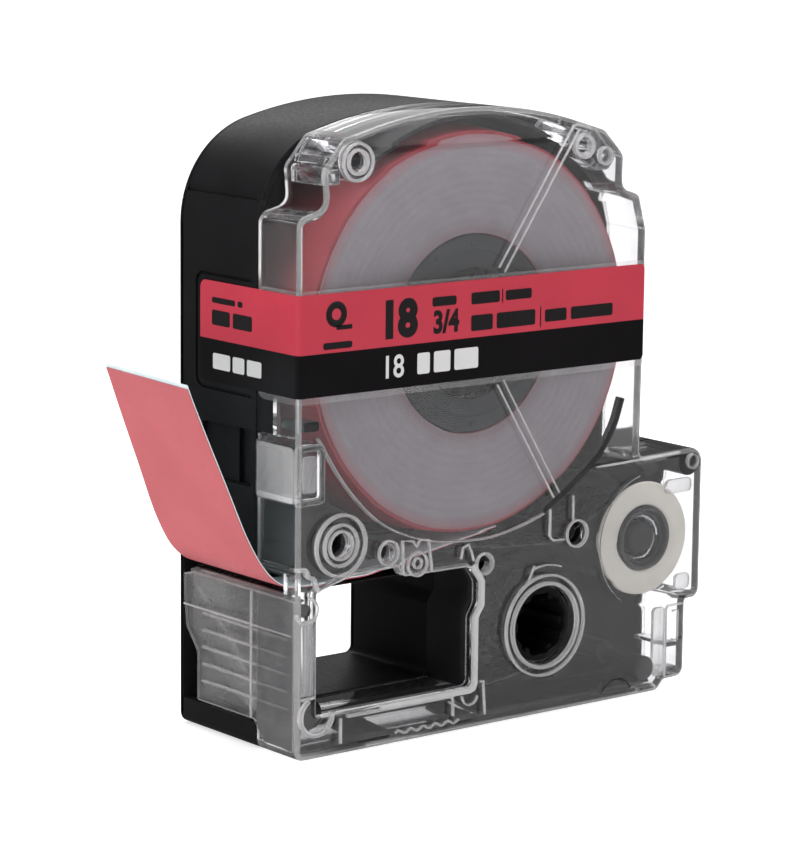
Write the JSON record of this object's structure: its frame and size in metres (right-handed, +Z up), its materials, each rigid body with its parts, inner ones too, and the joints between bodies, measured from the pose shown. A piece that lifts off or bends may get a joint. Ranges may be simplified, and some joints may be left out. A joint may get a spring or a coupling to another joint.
{
  "type": "label tape cartridge",
  "caption": "Thermal-transfer label tape cartridge: black rear shell, clear front cover, red tape roll and lead, platen roller and ink ribbon spools.",
  "frame": {"origin": "on the edge that the cartridge stands on, straight below the tape roll's axis, at half of the cartridge's depth", "axes": "+Z up with the tape roll above the print-head opening, +Y from the clear front cover to the black back, +X to the right seen from the front, so that the tape leaves towards -X"},
  "size_m": [0.0735, 0.0234, 0.0721],
  "materials": {
    "black_plastic": "moulded, fine satin grain",
    "clear_plastic": "clear moulded, polished",
    "label_print": "printed film label, red over black",
    "core_grey": "moulded, fine grain",
    "wound_tape": "wound tape edges, red outer turn",
    "film_disc": "frosted film",
    "spring_steel": "drawn wire",
    "tape_film": "satin laminated film",
    "tape_liner": "pale release liner",
    "spool_grey": "moulded, polished",
    "platen_rubber": "ground rubber",
    "flange_cream": "smooth off-white",
    "ink_ribbon": "wound ink film"
  },
  "bodies": {
    "housing": {"rear_shell": "black_plastic", "front_cover": "clear_plastic", "wrap_label": "label_print", "core_brake_spring": "spring_steel", "supply_brake_spring": "spring_steel", "tape_web": "tape_film", "ribbon_web": "ink_ribbon"},
    "tape_lead": {"tape_lead_film": "tape_film", "tape_lead_liner": "tape_liner"},
    "tape_spool": {"tape_core": "core_grey", "tape_roll": "wound_tape", "roll_film_front": "film_disc", "roll_film_rear": "film_disc"},
    "platen": {"platen_core": "spool_grey", "platen_rubber": "platen_rubber"},
    "ribbon_takeup": {"ribbon_takeup_core": "black_plastic", "ribbon_takeup_roll": "ink_ribbon"},
    "ribbon_supply": {"ribbon_supply_core": "spool_grey", "ribbon_supply_flange": "flange_cream", "ribbon_supply_roll": "ink_ribbon"}
  },
  "joints": [
    {"name": "tape_feed", "type": "slide", "parent": "housing", "child": "tape_lead", "axis": [-1, 0, 0], "range_m": [0, 0.012]},
    {"name": "platen_spin", "type": "hinge", "parent": "housing", "child": "platen", "pos_m": [-0.0205, 0, 0.0241], "axis": [0, 1, 0], "continuous": true},
    {"name": "tape_spool_spin", "type": "hinge", "parent": "housing", "child": "tape_spool", "pos_m": [0, 0, 0.046], "axis": [0, 1, 0], "continuous": true},
    {"name": "ribbon_takeup_spin", "type": "hinge", "parent": "housing", "child": "ribbon_takeup", "pos_m": [0.0099, 0, 0.01075], "axis": [0, -1, 0], "continuous": true},
    {"name": "ribbon_supply_spin", "type": "hinge", "parent": "housing", "child": "ribbon_supply", "pos_m": [0.0268, 0, 0.0189], "axis": [0, -1, 0], "continuous": true}
  ],
  "couplings": [
    {"joint": "platen_spin", "follows": "tape_feed", "rad_per_m": 238.09},
    {"joint": "tape_spool_spin", "follows": "tape_feed", "rad_per_m": 43.478},
    {"joint": "ribbon_supply_spin", "follows": "ribbon_takeup_spin", "ratio": 0.885}
  ]
}
